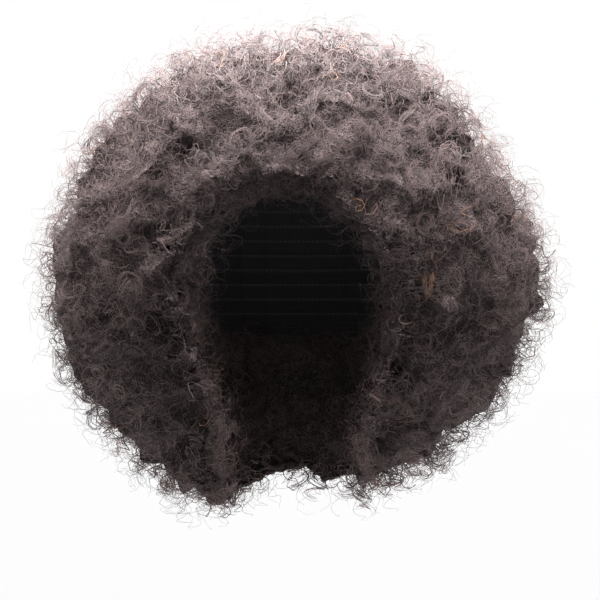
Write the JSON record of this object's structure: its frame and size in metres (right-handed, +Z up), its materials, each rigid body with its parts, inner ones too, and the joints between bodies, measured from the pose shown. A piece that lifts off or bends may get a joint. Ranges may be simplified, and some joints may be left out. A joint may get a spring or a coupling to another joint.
{
  "type": "afro wig",
  "caption": "Afro wig worn on the head: a stretch net cap with an edge band, under a large rounded ball of tight dark brown curls that is open for the face and neck.",
  "frame": {"origin": "where the crown of the wearer's head meets the inside of the cap", "axes": "+Z up, -Y the way the face looks, +X towards the wearer's left"},
  "size_m": [0.4069, 0.3313, 0.3845],
  "materials": {
    "cap_net": "black stretch net",
    "band_elastic": "black woven elastic",
    "hair": "tightly curled dark brown synthetic hair, soft sheen"
  },
  "bodies": {
    "root": {"wig_cap": "cap_net", "edge_band": "band_elastic", "crown_hair": "hair", "front_hair": "hair", "back_hair": "hair", "nape_hair": "hair", "left_side_hair": "hair", "right_side_hair": "hair"}
  },
  "joints": []
}
